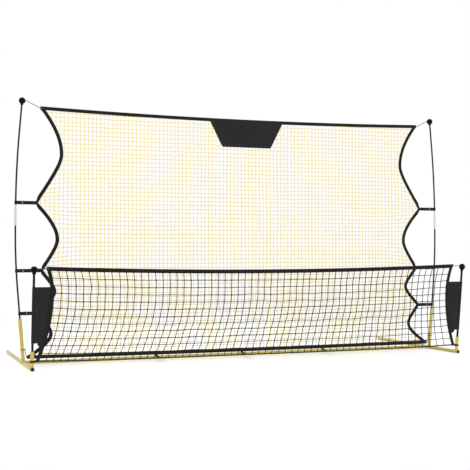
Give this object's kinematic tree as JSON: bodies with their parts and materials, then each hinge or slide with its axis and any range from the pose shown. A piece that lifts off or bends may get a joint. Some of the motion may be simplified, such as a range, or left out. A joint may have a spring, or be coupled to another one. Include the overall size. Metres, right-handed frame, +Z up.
{
  "type": "two-net ball rebounder",
  "caption": "Free-standing lawn rebounder: a tall fine net between bowed poles and a low coarse net between short poles, on a base of plug-in round steel tube.",
  "frame": {"origin": "on the ground, under the middle of the plan", "axes": "+X to the right as a player faces the nets, +Y to the back, away from the player, +Z up"},
  "size_m": [3.3228, 1.3277, 1.834],
  "materials": {
    "tube": "semi-gloss powder coat",
    "plug": "moulded",
    "bush": "moulded, natural nylon",
    "button": "bright zinc",
    "spring": "spring steel",
    "rear_pole": "pultruded glass fibre, satin",
    "front_pole": "pultruded glass fibre, satin",
    "ferrule": "satin",
    "ball_cap": "moulded, matte",
    "rear_net_cord": "braided cord",
    "front_net_cord": "braided cord",
    "rear_webbing": "woven webbing",
    "front_webbing": "woven webbing",
    "panel_fabric": "plain coated cloth",
    "strap": "woven webbing",
    "buckle": "pressed, nickel plated",
    "elastic": "braided elastic cord",
    "tie": "woven webbing",
    "wing_fabric": "plain coated cloth"
  },
  "bodies": {
    "frame": {"left_foot_tube": "tube", "right_foot_tube": "tube", "left_rear_socket": "tube", "right_rear_socket": "tube", "left_front_socket": "tube", "right_front_socket": "tube", "left_crossbar_stub": "tube", "right_crossbar_stub": "tube", "left_crossbar": "tube", "middle_crossbar": "tube", "right_crossbar": "tube", "end_plugs": "plug", "spring_clip_1": "spring", "spring_clip_2": "spring", "spring_clip_3": "spring", "spring_clip_4": "spring", "rear_bushes": "bush", "front_bushes": "bush", "left_lower_pole": "rear_pole", "right_lower_pole": "rear_pole", "left_ferrule": "ferrule", "right_ferrule": "ferrule", "left_upper_pole": "rear_pole", "right_upper_pole": "rear_pole", "left_rear_ball_cap": "ball_cap", "right_rear_ball_cap": "ball_cap", "left_front_pole": "front_pole", "right_front_pole": "front_pole", "left_front_ball_cap": "ball_cap", "right_front_ball_cap": "ball_cap", "rear_net": "rear_net_cord", "rear_top_webbing": "rear_webbing", "rear_bottom_webbing": "rear_webbing", "left_rear_webbing": "rear_webbing", "right_rear_webbing": "rear_webbing", "target_panel": "panel_fabric", "left_straps": "strap", "right_straps": "strap", "rear_top_cords": "elastic", "rear_lower_cords": "elastic", "net_ties": "tie", "front_net": "front_net_cord", "front_top_webbing": "front_webbing", "left_front_webbing": "front_webbing", "right_front_webbing": "front_webbing", "front_hem": "front_webbing", "front_loops": "tie", "left_wing": "wing_fabric", "right_wing": "wing_fabric", "front_top_cords": "elastic"},
    "snap_button_1": {"snap_button_1": "button"},
    "snap_button_2": {"snap_button_2": "button"},
    "snap_button_3": {"snap_button_3": "button"},
    "snap_button_4": {"snap_button_4": "button"},
    "left_upper_buckle": {"left_upper_buckle": "buckle"},
    "left_middle_buckle": {"left_middle_buckle": "buckle"},
    "left_lower_buckle": {"left_lower_buckle": "buckle"},
    "right_upper_buckle": {"right_upper_buckle": "buckle"},
    "right_middle_buckle": {"right_middle_buckle": "buckle"},
    "right_lower_buckle": {"right_lower_buckle": "buckle"}
  },
  "joints": [
    {"name": "snap_button_1_press", "type": "slide", "parent": "frame", "child": "snap_button_1", "axis": [0, 0, -1], "range_m": [0, 0.0045], "stiffness_N_per_m": 800, "deforming": ["spring_clip_1"]},
    {"name": "snap_button_2_press", "type": "slide", "parent": "frame", "child": "snap_button_2", "axis": [0, 0, -1], "range_m": [0, 0.0045], "stiffness_N_per_m": 800, "deforming": ["spring_clip_2"]},
    {"name": "snap_button_3_press", "type": "slide", "parent": "frame", "child": "snap_button_3", "axis": [0, 0, -1], "range_m": [0, 0.0045], "stiffness_N_per_m": 800, "deforming": ["spring_clip_3"]},
    {"name": "snap_button_4_press", "type": "slide", "parent": "frame", "child": "snap_button_4", "axis": [0, 0, -1], "range_m": [0, 0.0045], "stiffness_N_per_m": 800, "deforming": ["spring_clip_4"]},
    {"name": "left_upper_buckle_slide", "type": "slide", "parent": "frame", "child": "left_upper_buckle", "axis": [1, 0, 0], "range_m": [-0.005, 0.055]},
    {"name": "left_middle_buckle_slide", "type": "slide", "parent": "frame", "child": "left_middle_buckle", "axis": [1, 0, 0], "range_m": [-0.005, 0.055]},
    {"name": "left_lower_buckle_slide", "type": "slide", "parent": "frame", "child": "left_lower_buckle", "axis": [1, 0, 0], "range_m": [-0.005, 0.055]},
    {"name": "right_upper_buckle_slide", "type": "slide", "parent": "frame", "child": "right_upper_buckle", "axis": [-1, 0, 0], "range_m": [-0.005, 0.055]},
    {"name": "right_middle_buckle_slide", "type": "slide", "parent": "frame", "child": "right_middle_buckle", "axis": [-1, 0, 0], "range_m": [-0.005, 0.055]},
    {"name": "right_lower_buckle_slide", "type": "slide", "parent": "frame", "child": "right_lower_buckle", "axis": [-1, 0, 0], "range_m": [-0.005, 0.055]}
  ]
}
